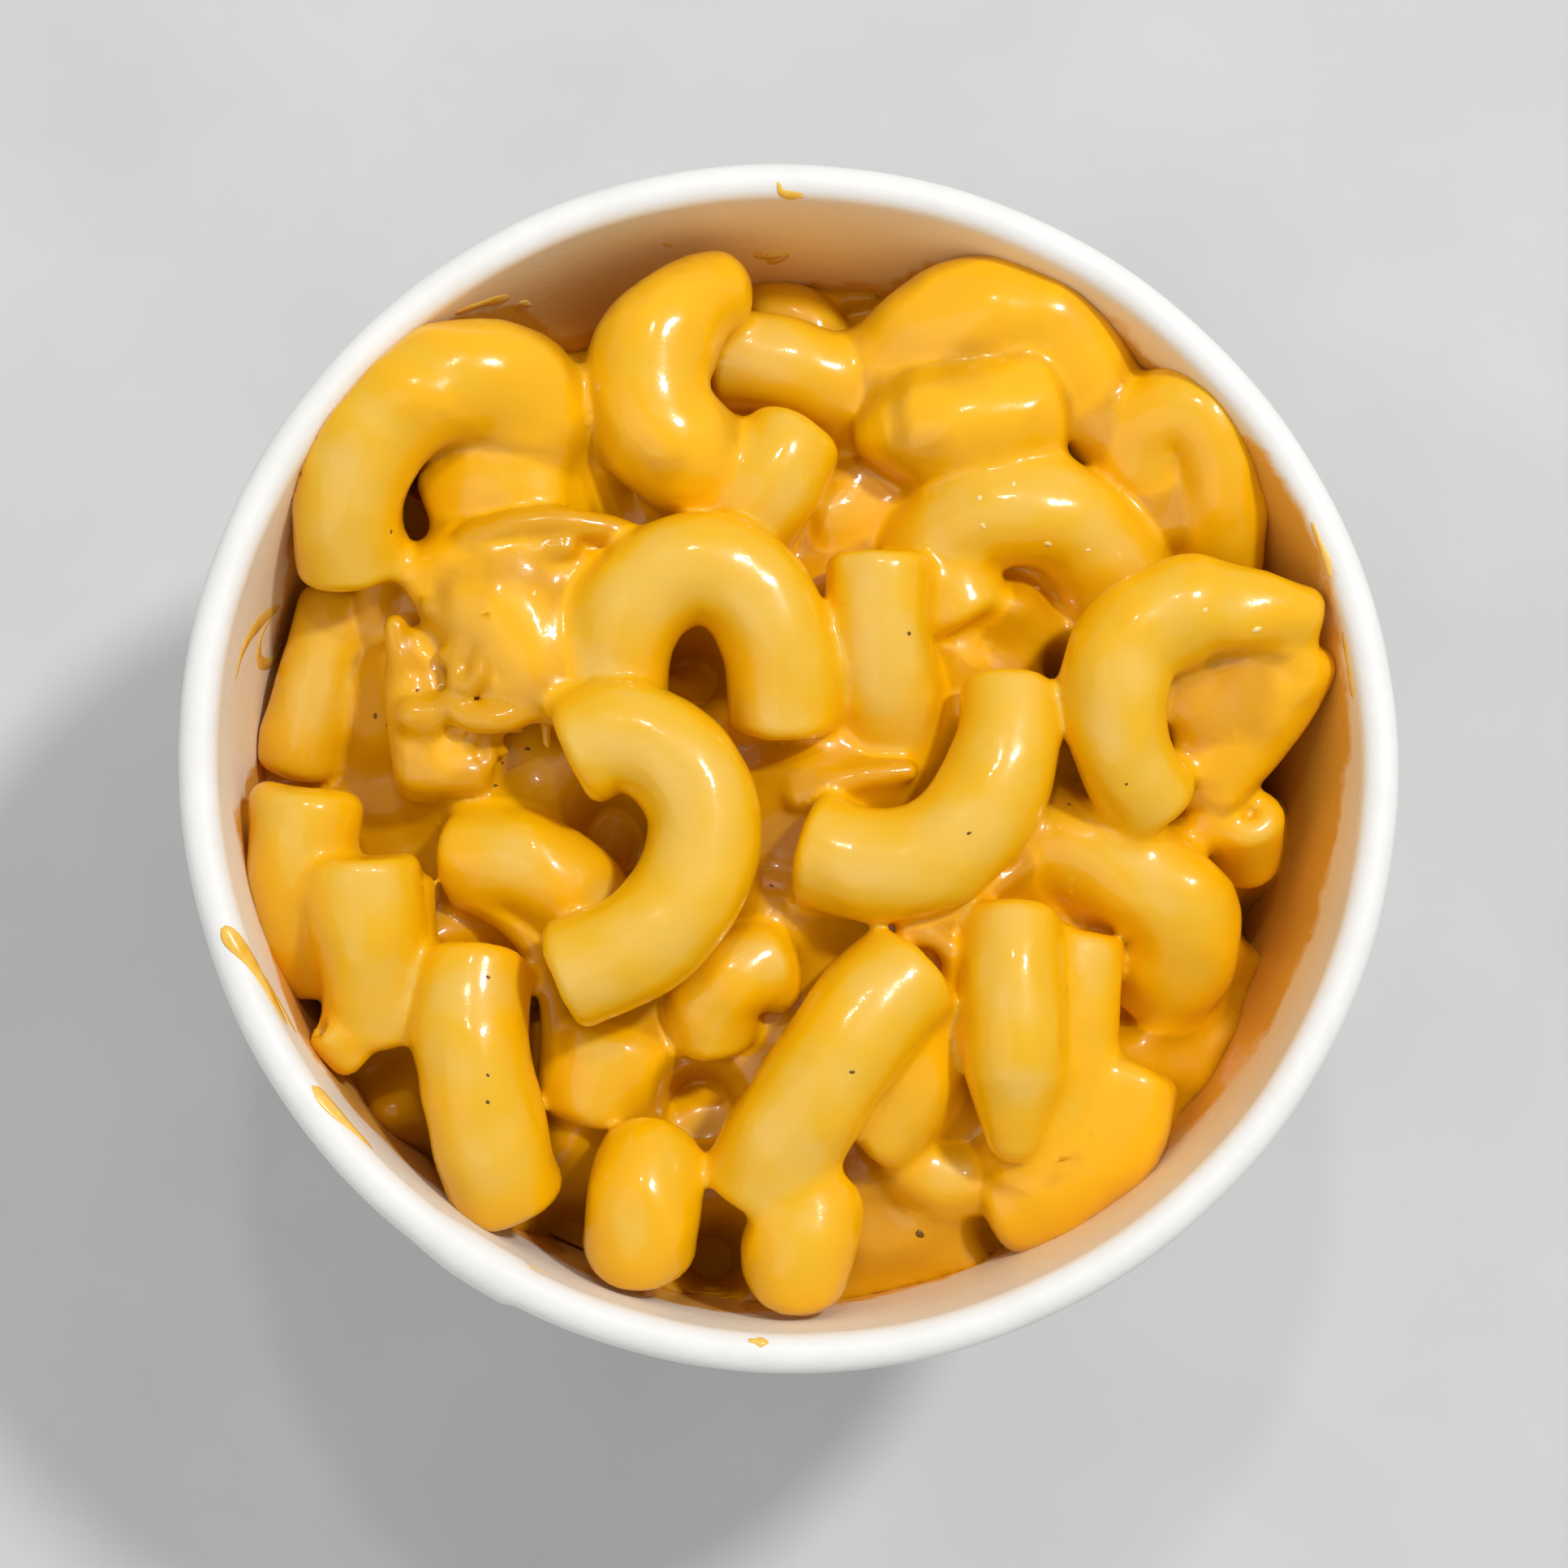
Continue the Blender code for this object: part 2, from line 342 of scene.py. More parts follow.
def filmAndBounceLight(tree, clean):
    # painted warm bounce light from the sauce tints the paper softly; the film of sauce above the food ends
    # in a ragged edge
    paintedBounce = addNode(tree, "ShaderNodeAttribute", {"attribute_name": "paintedBounce"})
    bounceTinted = mixColour(tree, paintedBounce.outputs["Fac"], clean, (*paperSet["paintedBounce"], 1))
    film = addNode(tree, "ShaderNodeAttribute", {"attribute_name": "film"})
    ragged = noiseNode(tree, 240, 3, 0.55, 0.8)
    shift = addNode(tree, "ShaderNodeMapRange", From_Min=0.25, From_Max=0.75, To_Min=-0.3, To_Max=0.3)
    tree.links.new(ragged.outputs["Fac"], shift.inputs["Value"])
    total = addNode(tree, "ShaderNodeMath", {"operation": "ADD"})
    tree.links.new(film.outputs["Fac"], total.inputs[0])
    tree.links.new(shift.outputs["Result"], total.inputs[1])
    share = addNode(tree, "ShaderNodeMapRange", From_Min=0.42, From_Max=0.75, To_Min=0.0, To_Max=0.9)
    tree.links.new(total.outputs[0], share.inputs["Value"])
    return mixColour(tree, share.outputs["Result"], bounceTinted, (*paperSet["film"], 1)), share.outputs["Result"]


def paperMaterial(stainedAndBounceLit=False):
    made, tree, shader = newMaterial("cupPaper")
    fibres = noiseNode(tree, 900, 4, 0.6)
    clouds = noiseNode(tree, 160, 3, 0.6, 0.6)
    tone = ramp(tree, clouds.outputs["Fac"], [(0.3, paperSet["shade"]), (0.65, paperSet["white"])])
    gloss = ramp(tree, fibres.outputs["Fac"], [(0.3, grey(0.42)), (0.7, grey(0.6))])
    if stainedAndBounceLit:
        colour, wetness = filmAndBounceLight(tree, tone.outputs["Color"])
        wet = mixColour(tree, wetness, gloss.outputs["Color"], (0.22, 0.22, 0.22, 1))
        tree.links.new(colour, shader.inputs["Base Color"])
        tree.links.new(wet, shader.inputs["Roughness"])
    else:
        tree.links.new(tone.outputs["Color"], shader.inputs["Base Color"])
        tree.links.new(gloss.outputs["Color"], shader.inputs["Roughness"])
    both = addNode(tree, "ShaderNodeMath", {"operation": "ADD"})
    tree.links.new(fibres.outputs["Fac"], both.inputs[0])
    tree.links.new(clouds.outputs["Fac"], both.inputs[1])
    bump = addNode(tree, "ShaderNodeBump", Strength=0.35, Distance=0.00012)
    tree.links.new(both.outputs[0], bump.inputs["Height"])
    tree.links.new(bump.outputs["Normal"], shader.inputs["Normal"])
    shader.inputs["Specular IOR Level"].default_value = 0.35
    return made


def addBase():
    # a recessed disc whose edge turns down into the fold of the foot
    height = 7.25
    edge = wallMiddle(height) - tubSet["footFold"] / 2 - 0.15
    line = [(0.0, height), (edge * 0.5, height), (edge - 1.0, height)]
    for step in range(1, 5):
        angle = math.pi / 2 * step / 4
        line.append((edge - 1.0 + 1.0 * math.sin(angle), height - 1.0 + 1.0 * math.cos(angle)))
    line.append((wallMiddle(1.2) - tubSet["footFold"] / 2 - 0.1, 1.2))
    outer = [(radius, high + 0.22) if radius < edge - 0.5 else (radius + 0.22, high)
             for radius, high in line]
    inner = [(radius, high - 0.22) if radius < edge - 0.5 else (radius - 0.22, high)
             for radius, high in line]
    loop = outer + inner[::-1]
    around = 144
    points = []
    for turn in range(around):
        angle = math.tau * turn / around
        points += [(r * math.cos(angle) * mm, r * math.sin(angle) * mm, h * mm) for r, h in loop]
    faces = []
    for turn in range(around):
        here = turn * len(loop)
        there = (turn + 1) % around * len(loop)
        for index in range(len(loop) - 1):
            faces.append((here + index, here + index + 1, there + index + 1, there + index))
    disc = meshObject("tubBase", points, faces)
    bm = bmesh.new()
    bm.from_mesh(disc.data)
    bmesh.ops.remove_doubles(bm, verts=bm.verts, dist=0.00001)
    bmesh.ops.recalc_face_normals(bm, faces=bm.faces)
    bm.to_mesh(disc.data)
    bm.free()
    disc.data.materials.append(paperMaterial())
    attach(disc, "root")
    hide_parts("cup_base")


addTub()
addBase()
print("tub made")


foodSet = {
    "voxel": 0.4,
    "low": (-44.5, -44.5, 35.0),
    "high": (44.5, 44.5, 66.0),
    "wallGap": -0.13,     # the sauce wets the paper
    "tube": 4.2,          # radius of bare macaroni
    "far": 3.0,           # distances are kept up to this far from a surface
}

macaroniList = []


def macaroni(way, tube=foodSet["tube"], coat=0.15, starts=1.0, ends=1.0, blend=0.7, opens="", hole=0.45,
             coatEnds=None):
    # one piece of pasta: two points make it straight, three an arc, more a smooth curve
    macaroniList.append(dict(
        way=[Vector(point) for point in way], tube=tube, coat=coat,
        coatEnds=coat if coatEnds is None else coatEnds,
        starts=starts, ends=ends, blend=blend, opens=opens, hole=hole,
    ))


def layMacaroni():
    # round the back of the tub
    macaroni([(-34, 15.5, 54), (-34.5, 20, 57.3), (-32.3, 25.5, 59), (-28, 28.8, 59.3), (-23.5, 29.8, 58.5),
              (-20.3, 28, 56), (-20.3, 25.5, 51)], 4.2, 0.1, starts=1.05, blend=1.6, coatEnds=0.75)
    macaroni([(-26.5, 21.5, 52.5), (-23.5, 22, 55), (-20.5, 21.5, 55), (-18.8, 19.3, 52.5)], 3.3, 0.6,
             blend=2.2)
    macaroni([(-18, 32, 50), (-17.5, 27.5, 51.5), (-16, 23, 51), (-14.5, 20.5, 48)], 3.5, 0.35, blend=1.8)
    macaroni([(-14, 33.5, 46), (-15, 26.5, 47)], 3.6, 0.4, blend=1.6)
    macaroni([(-12.5, 18.5, 48.5), (-10.5, 20, 50), (-8, 22.5, 51)], 2.4, 0.25, blend=1.2)
    macaroni([(-4, 38.5, 54.5), (-7.5, 36.5, 56), (-10.5, 32.3, 57), (-10.8, 27.8, 57), (-8.5, 24.8, 56),
              (-5.5, 23.5, 53)], 4.3, 0.6, starts=0.55, blend=1.3)
    macaroni([(-5, 33.8, 50.5), (0, 33, 51.5), (4.5, 31, 50.5), (8, 27.5, 46.5)], 3.9, 0.2, blend=1.0)
    macaroni([(-1.5, 38.8, 44.5), (1.5, 38.5, 45), (3.5, 36, 45)], 2.9, 0.3)
    macaroni([(5, 36, 42), (11, 36.5, 43)], 3.2, 0.3)
    macaroni([(1, 26.5, 55), (-0.5, 24, 55.5), (-3, 20, 54.3), (-4.8, 16.5, 51.5)], 4.1, 0.2,
             starts=0.9, blend=1.2)
    macaroni([(2.5, 20.5, 50), (10, 22, 49.5)], 2.7, 0.25, blend=1.4)
    macaroni([(8.5, 32, 50.5), (12, 35, 53.5), (16.5, 36.6, 55), (21, 35.3, 54.8), (23.5, 32.3, 53.8),
              (22.5, 29.5, 52)], 4.1, 0.75, blend=2.6)
    macaroni([(10.5, 27, 54.8), (15, 27.3, 55.8), (20, 28.6, 55)], 3.9, 0.75, blend=1.8)
    macaroni([(6.2, 26.3, 54.2), (12, 27, 55.6)], 2.6, 0.6, starts=0.45, blend=2.2)
    macaroni([(22.5, 34, 50), (26.5, 30, 51), (28.5, 26.5, 50)], 3.6, 0.6, blend=2.4)
    macaroni([(28.6, 23.5, 53), (29.8, 27.5, 55.5), (32.3, 28, 56.8), (34.6, 24.5, 56), (35.2, 19.5, 53.5),
              (35, 16, 50)], 3.3, 0.35, blend=1.3)
    macaroni([(31.8, 25.5, 53.5), (31.8, 19, 52)], 2.2, 0.9, blend=2.0)
    macaroni([(24.5, 29, 53), (28.5, 25.5, 52.5), (30.5, 19.5, 51)], 3.1, 0.5, blend=2.2)
    macaroni([(11, 16, 51), (13.5, 19, 53.5), (17.5, 20.3, 55), (22, 19.8, 54.6), (25.5, 17, 53),
              (27.5, 13, 50.5)], 4.2, 0.2, blend=1.4)
    # the middle of the heap, where the topmost ones lie
    macaroni([(-13.8, 4.5, 54.5), (-13.5, 9.5, 56.5), (-11.3, 13.2, 57.7), (-7.3, 15, 58.2),
              (-3.2, 13.2, 58), (-0.9, 8.5, 57), (-0.5, 2.6, 55)], 4.3, 0.14, blend=0.9)
    macaroni([(-17.2, 0.2, 58.3), (-13.5, 1.6, 59), (-9.6, 0, 59.4), (-7.1, -4.5, 59.5), (-8.1, -10, 59.4),
              (-11.8, -14.3, 59.2), (-18, -17, 58)], 4.3, 0.08, blend=0.7, opens="start", hole=0.3)
    macaroni([(7, 16.3, 56.8), (7, 10, 56), (8, 5.5, 54.3), (9, 1, 51)], 4.0, 0.15, ends=0.75, blend=1.3)
    macaroni([(12.5, 15.5, 53), (14.5, 11.5, 53)], 3.6, 0.2, blend=1.4)
    macaroni([(13, 8.5, 50.5), (14.5, 10.5, 50.5)], 2.6, 0.4, blend=1.4)
    macaroni([(17, 6.2, 57.2), (16.6, 1, 58), (14.7, -4, 58.2), (11.2, -7.4, 58), (6.5, -8.4, 57.4),
              (1.2, -6.8, 56)], 4.3, 0.12, starts=0.85, ends=1.0, blend=1.3)
    macaroni([(29, -3.8, 55.5), (26, 0, 57.8), (25, 5, 59.2), (26.5, 9.2, 59.5), (31, 11.5, 59.6),
              (35.5, 11.6, 59.6),
              (41.2, 10.7, 59.3)], 4.1, 0.12, starts=0.85, ends=0.45, blend=1.0, coatEnds=0.3)
    macaroni([(40.5, 9, 57), (38.8, 5, 55), (35.5, 1.5, 53.5), (33, -1, 52.5)], 2.7, 0.6, blend=2.6)
    macaroni([(31, 4.5, 54), (37, 6, 55)], 2.4, 0.9, blend=2.8)
    macaroni([(36.5, -3.6, 53), (37.6, -7, 47)], 2.6, 0.25, opens="start", hole=0.34, blend=1.4)
    macaroni([(32, -3.2, 51.5), (36, -4.5, 49)], 2.5, 0.5, blend=1.8)
    # the cheese lump at the left
    macaroni([(-28, 13, 53.5), (-25, 15.5, 55), (-20.5, 16, 55.3), (-16.5, 15, 54)], 3.0, 0.7, blend=2.0)
    macaroni([(-25, 12.5, 54), (-21, 9.8, 55), (-20.5, 6, 54)], 4.1, 0.9, blend=2.2)
    macaroni([(-28.5, 10, 51.5), (-27.5, 4, 52), (-26.5, -1, 51.5)], 3.2, 0.7, blend=1.6)
    macaroni([(-29.5, 7, 54.5), (-29.3, 3, 54), (-28.5, -1.5, 52)], 1.3, 0.8, blend=1.2)
    # down the left side
    macaroni([(-35.5, 14.5, 48), (-37, 9, 48.5), (-38.3, 4, 47.5), (-39, 1, 46)], 3.0, 0.2, blend=1.2)
    macaroni([(-37.5, -2.2, 54.5), (-38, -7, 53.5), (-38, -11.5, 50.5), (-37, -15.5, 47)], 4.1, 0.25,
             blend=1.2)
    macaroni([(-33.2, -7.6, 56), (-32.8, -12, 55.2), (-32.3, -17, 53), (-32, -20, 51)], 4.1, 0.25,
             blend=1.2)
    macaroni([(-26, -7, 51.5), (-21, -7.5, 53.5), (-17.5, -9.5, 53), (-15, -12, 51)], 3.8, 0.25, blend=1.5)
    # round the front of the tub
    macaroni([(-24.3, -15.2, 54), (-25, -21, 55.2), (-24, -26, 55), (-23, -30.5, 53.7), (-22, -33.5, 51.5)],
             4.3, 0.2, blend=1.2)
    macaroni([(-14, -20.5, 50.5), (-15.5, -27, 49)], 4.3, 0.35, blend=1.6)
    macaroni([(-11, -30.5, 52), (-11.5, -34, 53.7), (-12, -37.8, 52)], 4.1, 0.35, opens="end", hole=0.4,
             blend=1.5)
    macaroni([(-1, -15.2, 53.3), (-4, -16.2, 54), (-6, -18.3, 53.3), (-6, -21.8, 51.3)], 3.1, 0.25,
             blend=1.1)
    macaroni([(9.3, -16, 55.3), (5.5, -20, 56.4), (2, -25, 56.3), (-1, -29.5, 55), (-2.8, -33.3, 52.7)],
             4.4, 0.18, blend=1.2)
    macaroni([(10, -19.5, 51), (9.5, -24, 51), (6, -28.5, 49.5)], 4.0, 0.3, blend=1.8)
    macaroni([(1.5, -33.5, 52.5), (0.5, -37, 53.6), (0, -40.2, 52)], 4.1, 0.35, ends=0.9, blend=1.6)
    macaroni([(17.3, -11.8, 54.8), (17, -16.5, 56), (17, -21.5, 56), (17.1, -26, 54.8),
              (17.2, -30.5, 53.2)], 3.9, 0.16, starts=0.95, ends=0.42, blend=1.2)
    macaroni([(14.5, -16.5, 53.5), (15, -23, 53)], 2.0, 0.5, ends=0.4, blend=1.6)
    macaroni([(22.8, -13.5, 52), (22, -19.5, 52.5), (21.3, -26, 51.5), (18.5, -32, 49)], 3.5, 0.3,
             blend=1.6)
    macaroni([(27, -24, 51), (25.3, -29, 50.6), (21, -32.8, 49), (17, -34.3, 47)], 3.7, 0.55, blend=2.2)
    macaroni([(9, -30.5, 47), (12.5, -32.3, 48), (17, -32, 47)], 2.3, 0.3, blend=1.4)
    macaroni([(19, -5, 50), (23.5, -6.5, 51.7), (27.5, -8.5, 52.5), (31, -11.3, 52.3),
              (31.3, -14.5, 50), (30, -17, 46)], 4.3, 0.3, blend=1.8)
    macaroni([(-36.3, -20.4, 54), (-33.5, -23, 52.5)], 1.5, 0.2, opens="start", hole=0.5, blend=1.0)


deepSet = {"pieces": 26, "reach": 36.0, "low": 40.0, "high": 44.5, "seed": 11}


def layDeepMacaroni():
    # what shows through the gaps lower down
    deep = np.random.default_rng(deepSet["seed"])
    for number in range(deepSet["pieces"]):
        spot = deepSet["reach"] * math.sqrt((number + 0.5) / deepSet["pieces"])
        angle = number * 2.4
        height = deep.uniform(deepSet["low"], deepSet["high"])
        middle = Vector((spot * math.cos(angle), spot * math.sin(angle), height))
        facing = deep.uniform(0, math.tau)
        ahead = Vector((math.cos(facing), math.sin(facing), deep.uniform(-0.3, 0.3)))
        bend = Vector((-ahead.y, ahead.x, deep.uniform(-0.6, 0.2))) * deep.uniform(2.5, 5)
        way = [middle - ahead * 6 + bend, middle, middle + ahead * 6 + bend]
        macaroni(way, 3.8, 0.4, blend=1.0)


# heaps and dips of the sauce between the pieces: x, y, how far up or down, how wide
sauceSet = {
    "level": [(0, 53), (14, 52.5), (24, 51), (33, 48.3), (40, 45.5), (46, 44)],
    "mounds": [
        (1.5, -0.5, 3.4, 4.5), (8, -1, 2.6, 3.5), (-20, 1, 1, 5), (19, -8, 1.5, 4), (21, 2, 1.5, 3.5),
        (-1, -12, 2.4, 3.5), (12.5, -12, 3.9, 4.5), (12, 6, 2.8, 3.5), (18.5, 12.5, 3.8, 3.6),
        (33, -24, 1.5, 6), (14, -35, 1.5, 5), (-31, 14, 4, 4), (30, 33, 6, 5), (27, 26, 3.5, 4),
        (24, 26, 3.5, 2.5), (31, 20, 3.5, 4), (-24, -3, 2.4, 4), (-13, -23, 3.2, 4.3), (-20, -10, 1, 3),
        (28, -20, 1.5, 4), (11, -23, 2, 4), (12, 25, 2.5, 3), (34.5, 4, 6.5, 4), (-32, 7, 3, 4),
        (-28, -18.5, 2.5, 2.5), (-17.5, -29, 2.5, 3), (24, -30, 1.5, 4), (-19, 25, 2.5, 3),
        (-31, -27, 3, 3), (-28, -13, 3.5, 3), (6, 22, 1.5, 3), (28, 4.5, 2, 2),
    ],
    "dips": [
        (-7.5, 8, 9, 2.6), (-13, -5.5, 7, 3.4), (-37.5, -17.5, 9, 2.6), (-20.3, -17.5, 8, 1.7),
        (-7, -26, 8, 2.6), (-17, -36.5, 9, 3.0), (-5.5, -38, 10, 2.8), (6, 36.5, 4, 3.0),
        (-15.5, 38, 6, 3.2), (27, 35.5, 7, 2.2), (41.5, 2, 9, 2.6), (40, -11, 8, 2.4),
        (-39.5, 12, 8, 2.4), (-29, -31, 5, 2.4), (-28.3, 25.3, 8, 1.8), (27, -19, 3, 2.0),
        (18, -36, 3, 3), (13.5, -21.5, 3.5, 1.5), (22.2, 8.5, 6, 1.3),
    ],
}

# threads and webs of sauce between the pieces: way and thickness
strandList = [
    ([(-24, -10.5, 53), (-20.5, -13.5, 52.6), (-18.6, -18, 52), (-18.4, -24, 51.5)], 1.1),
    ([(0.5, -2.8, 55.6), (4.5, -1.4, 56.2), (9.2, -0.8, 56.2)], 0.7),
    ([(19, -4.5, 54.2), (17.5, -8.5, 54.6), (12.5, -11.8, 55.4), (9, -13.2, 55.6)], 0.7),
    ([(9.5, -13.8, 56), (11.8, -14.6, 55.8), (12.0, -17.5, 54.2)], 0.7),
    ([(-0.8, -14.2, 54.6), (0.1, -16.6, 54.4), (-0.8, -18.8, 53.3)], 0.6),
    ([(-32, 16, 53), (-33, 12, 50)], 1.6),
    ([(28.5, -3.5, 53), (31, -2.2, 53.4), (34, -2.8, 53.2)], 0.9),
    ([(-28.6, -9.5, 54), (-28.2, -14.5, 53.5), (-28.5, -19, 52.5)], 0.7),
]


def arcThrough(start, middle, end, steps=16):
    # points along the circle through three points
    first = start - end
    second = middle - end
    normal = first.cross(second)
    if normal.length < 0.5:
        return [start, middle, end]
    towards = (first.length_squared * second - second.length_squared * first).cross(normal)
    centre = end + towards / (2 * normal.length_squared)
    arm = start - centre
    side = normal.normalized().cross(arm)
    half = math.atan2((middle - centre).dot(side), (middle - centre).dot(arm)) % math.tau
    sweep = math.atan2((end - centre).dot(side), (end - centre).dot(arm)) % math.tau
    if half > sweep:
        sweep -= math.tau
    turns = [sweep * step / steps for step in range(steps + 1)]
    return [centre + arm * math.cos(angle) + side * math.sin(angle) for angle in turns]


def smoothThrough(corners, steps=5):
    padded = [2 * corners[0] - corners[1], *corners, 2 * corners[-1] - corners[-2]]
    points = []
    for p0, p1, p2, p3 in zip(padded, padded[1:], padded[2:], padded[3:]):
        for step in range(steps):
            t = step / steps
            slope = (p2 - p0) * t
            bend = (2 * p0 - 5 * p1 + 4 * p2 - p3) * t ** 2
            twist = (3 * p1 - p0 - 3 * p2 + p3) * t ** 3
            points.append(p1 + (slope + bend + twist) / 2)
    return points + [corners[-1]]


def wayPoints(way):
    corners = [Vector(point) for point in way]
    if len(corners) == 3:
        return arcThrough(*corners)
    if len(corners) > 3:
        return smoothThrough(corners)
    return corners


def gridAxes():
    low, high, step = foodSet["low"], foodSet["high"], foodSet["voxel"]
    return [np.arange(low[k], high[k], step, dtype=np.float32) for k in range(3)]


axes = gridAxes()


def windowAround(points, margin):
    # slices of the grid that hold the points and a margin
    spans = []
    for k in range(3):
        values = [point[k] for point in points]
        first = int(np.searchsorted(axes[k], min(values) - margin))
        last = int(np.searchsorted(axes[k], max(values) + margin))
        spans.append(slice(first, max(last, first + 1)))
    return tuple(spans)


def windowGrid(window):
    return np.meshgrid(*[axes[k][window[k]] for k in range(3)], indexing="ij")


def alongWay(points, x, y, z):
    # how far along the way, and the distance from it, at each place
    # before the start and past the end the way runs on straight
    nearest = np.full(x.shape, 1e9, np.float32)
    along = np.zeros(x.shape, np.float32)
    away = np.zeros(x.shape, np.float32)
    length = 0.0
    for index, (start, end) in enumerate(zip(points, points[1:])):
        step = end - start
        reach = step.length
        ahead = step / reach
        dx, dy, dz = x - start.x, y - start.y, z - start.z
        t = dx * ahead.x + dy * ahead.y + dz * ahead.z
        square = dx * dx + dy * dy + dz * dz
        inside = np.clip(t, 0, reach)
        gap = square - t * t + (t - inside) ** 2
        first = -1e9 if index == 0 else 0.0
        last = 1e9 if index == len(points) - 2 else reach
        ran = np.clip(t, first, last)
        closer = gap < nearest
        nearest = np.where(closer, gap, nearest)
        along = np.where(closer, length + ran, along)
        away = np.where(closer, square - t * t + (t - ran) ** 2, away)
        length += reach
    return along, np.sqrt(np.maximum(away, 0)), length


def cutTube(along, away, length, radius, edge):
    # distance from a tube with flat ends and softened edges
    side = away - (radius - edge)
    tip = np.maximum(-along, along - length) + edge
    return np.minimum(np.maximum(side, tip), 0) + np.hypot(np.maximum(side, 0), np.maximum(tip, 0)) - edge


def melt(first, second, soft):
    # the nearer of two surfaces, with a fillet where they meet
    mix = np.clip(0.5 + 0.5 * (second - first) / soft, 0, 1)
    return second * (1 - mix) + first * mix - soft * mix * (1 - mix)


def waves(x, y, z, scale, count, seed):
    # soft unevenness between about -1 and 1, with bumps about this many millimetres across
    dice = np.random.default_rng(seed)
    total = np.zeros(np.broadcast(x, y, z).shape, np.float32)
    for _ in range(count):
        way = dice.normal(size=3)
        way *= math.tau / (2 * scale) * dice.uniform(0.6, 1.4) / np.linalg.norm(way)
        total += np.sin(way[0] * x + way[1] * y + way[2] * z + dice.uniform(0, math.tau)).astype(np.float32)
    return total * (1.4 / math.sqrt(count))


def sauceHeight(x, y):
    radius = np.hypot(x, y)
    spots, levels = zip(*sauceSet["level"])
    height = np.interp(radius, spots, levels)
    for cx, cy, up, wide in sauceSet["mounds"]:
        height += up * np.exp(-((x - cx) ** 2 + (y - cy) ** 2) / wide ** 2)
    for cx, cy, down, wide in sauceSet["dips"]:
        height -= down * np.exp(-(((x - cx) ** 2 + (y - cy) ** 2) / wide ** 2) ** 1.5)
    return height


def foodFields():
    # distance from the sauced food, and from the bare pasta inside it
    shape = tuple(len(axis) for axis in axes)
    far = foodSet["far"]
    food = np.full(shape, far, np.float32)
    pasta = np.full(shape, far, np.float32)
    x, y = np.meshgrid(axes[0], axes[1], indexing="ij")
    level = sauceHeight(x, y) + 0.35 * waves(x, y, 0 * x, 3.0, 10, 3)
    food = np.clip((axes[2][None, None, :] - level[:, :, None]) * 0.85, -far, far).astype(np.float32)
    for number, piece in enumerate(macaroniList):
        points = wayPoints(piece["way"])
        window = windowAround(points, piece["tube"] + piece["coat"] + 2.5)
        gx, gy, gz = windowGrid(window)
        along, away, length = alongWay(points, gx, gy, gz)
        knots = [0, 0.35 * length, 0.65 * length, length]
        taper = np.interp(along, knots, [piece["starts"], 1, 1, piece["ends"]])
        uneven = waves(gx, gy, gz, 4.5, 8, 100 + number)
        radius = piece["tube"] * taper * (1 + 0.014 * uneven)
        bare = cutTube(along, away, length, radius, np.minimum(1.1, radius * 0.6))
        ridges = waves(gx, gy, gz, 3.2, 8, 300 + number)
        coat = np.interp(along, [0.2 * length, 0.8 * length], [piece["coat"], piece["coatEnds"]])
        coat += np.minimum(0.4 * coat, 0.12) * ridges
        sauced = bare - np.maximum(coat, 0)
        for end in ("start", "end"):
            if end in piece["opens"]:
                depth = along if end == "start" else length - along
                bore = away - piece["tube"] * piece["hole"] + np.maximum(depth - 2.5, 0) * 0.6
                sauced = -melt(-sauced, bore, 0.5)
        pasta[window] = np.minimum(pasta[window], bare)
        food[window] = melt(food[window], sauced, piece["blend"])
    for way, thick in strandList:
        points = wayPoints(way)
        window = windowAround(points, thick + 2.5)
        along, away, length = alongWay(points, *windowGrid(window))
        over = np.maximum(np.maximum(-along, along - length), 0)
        food[window] = melt(food[window], np.hypot(away, over) - thick, 1.4)
    food = addShreds(food)
    gx, gy, gz = np.meshgrid(*axes, indexing="ij", sparse=True)
    food += 0.025 * waves(gx, gy, gz, 1.6, 12, 7)
    wall = np.hypot(gx, gy) - (wallInside(gz) - foodSet["wallGap"])
    rimWall = np.hypot(gx, gy) - (wallInside(beadCentre[1]) - foodSet["wallGap"])
    wall = np.where(gz > beadCentre[1], rimWall, wall)
    food = np.maximum(food, wall.astype(np.float32))
    food = np.maximum(food, (foodSet["low"][2] + 1.0) - gz)
    return food, pasta


shredSet = {"count": 44, "centre": (-21.5, 9.5), "reach": (7.5, 8.0), "top": 58.6, "seed": 5}


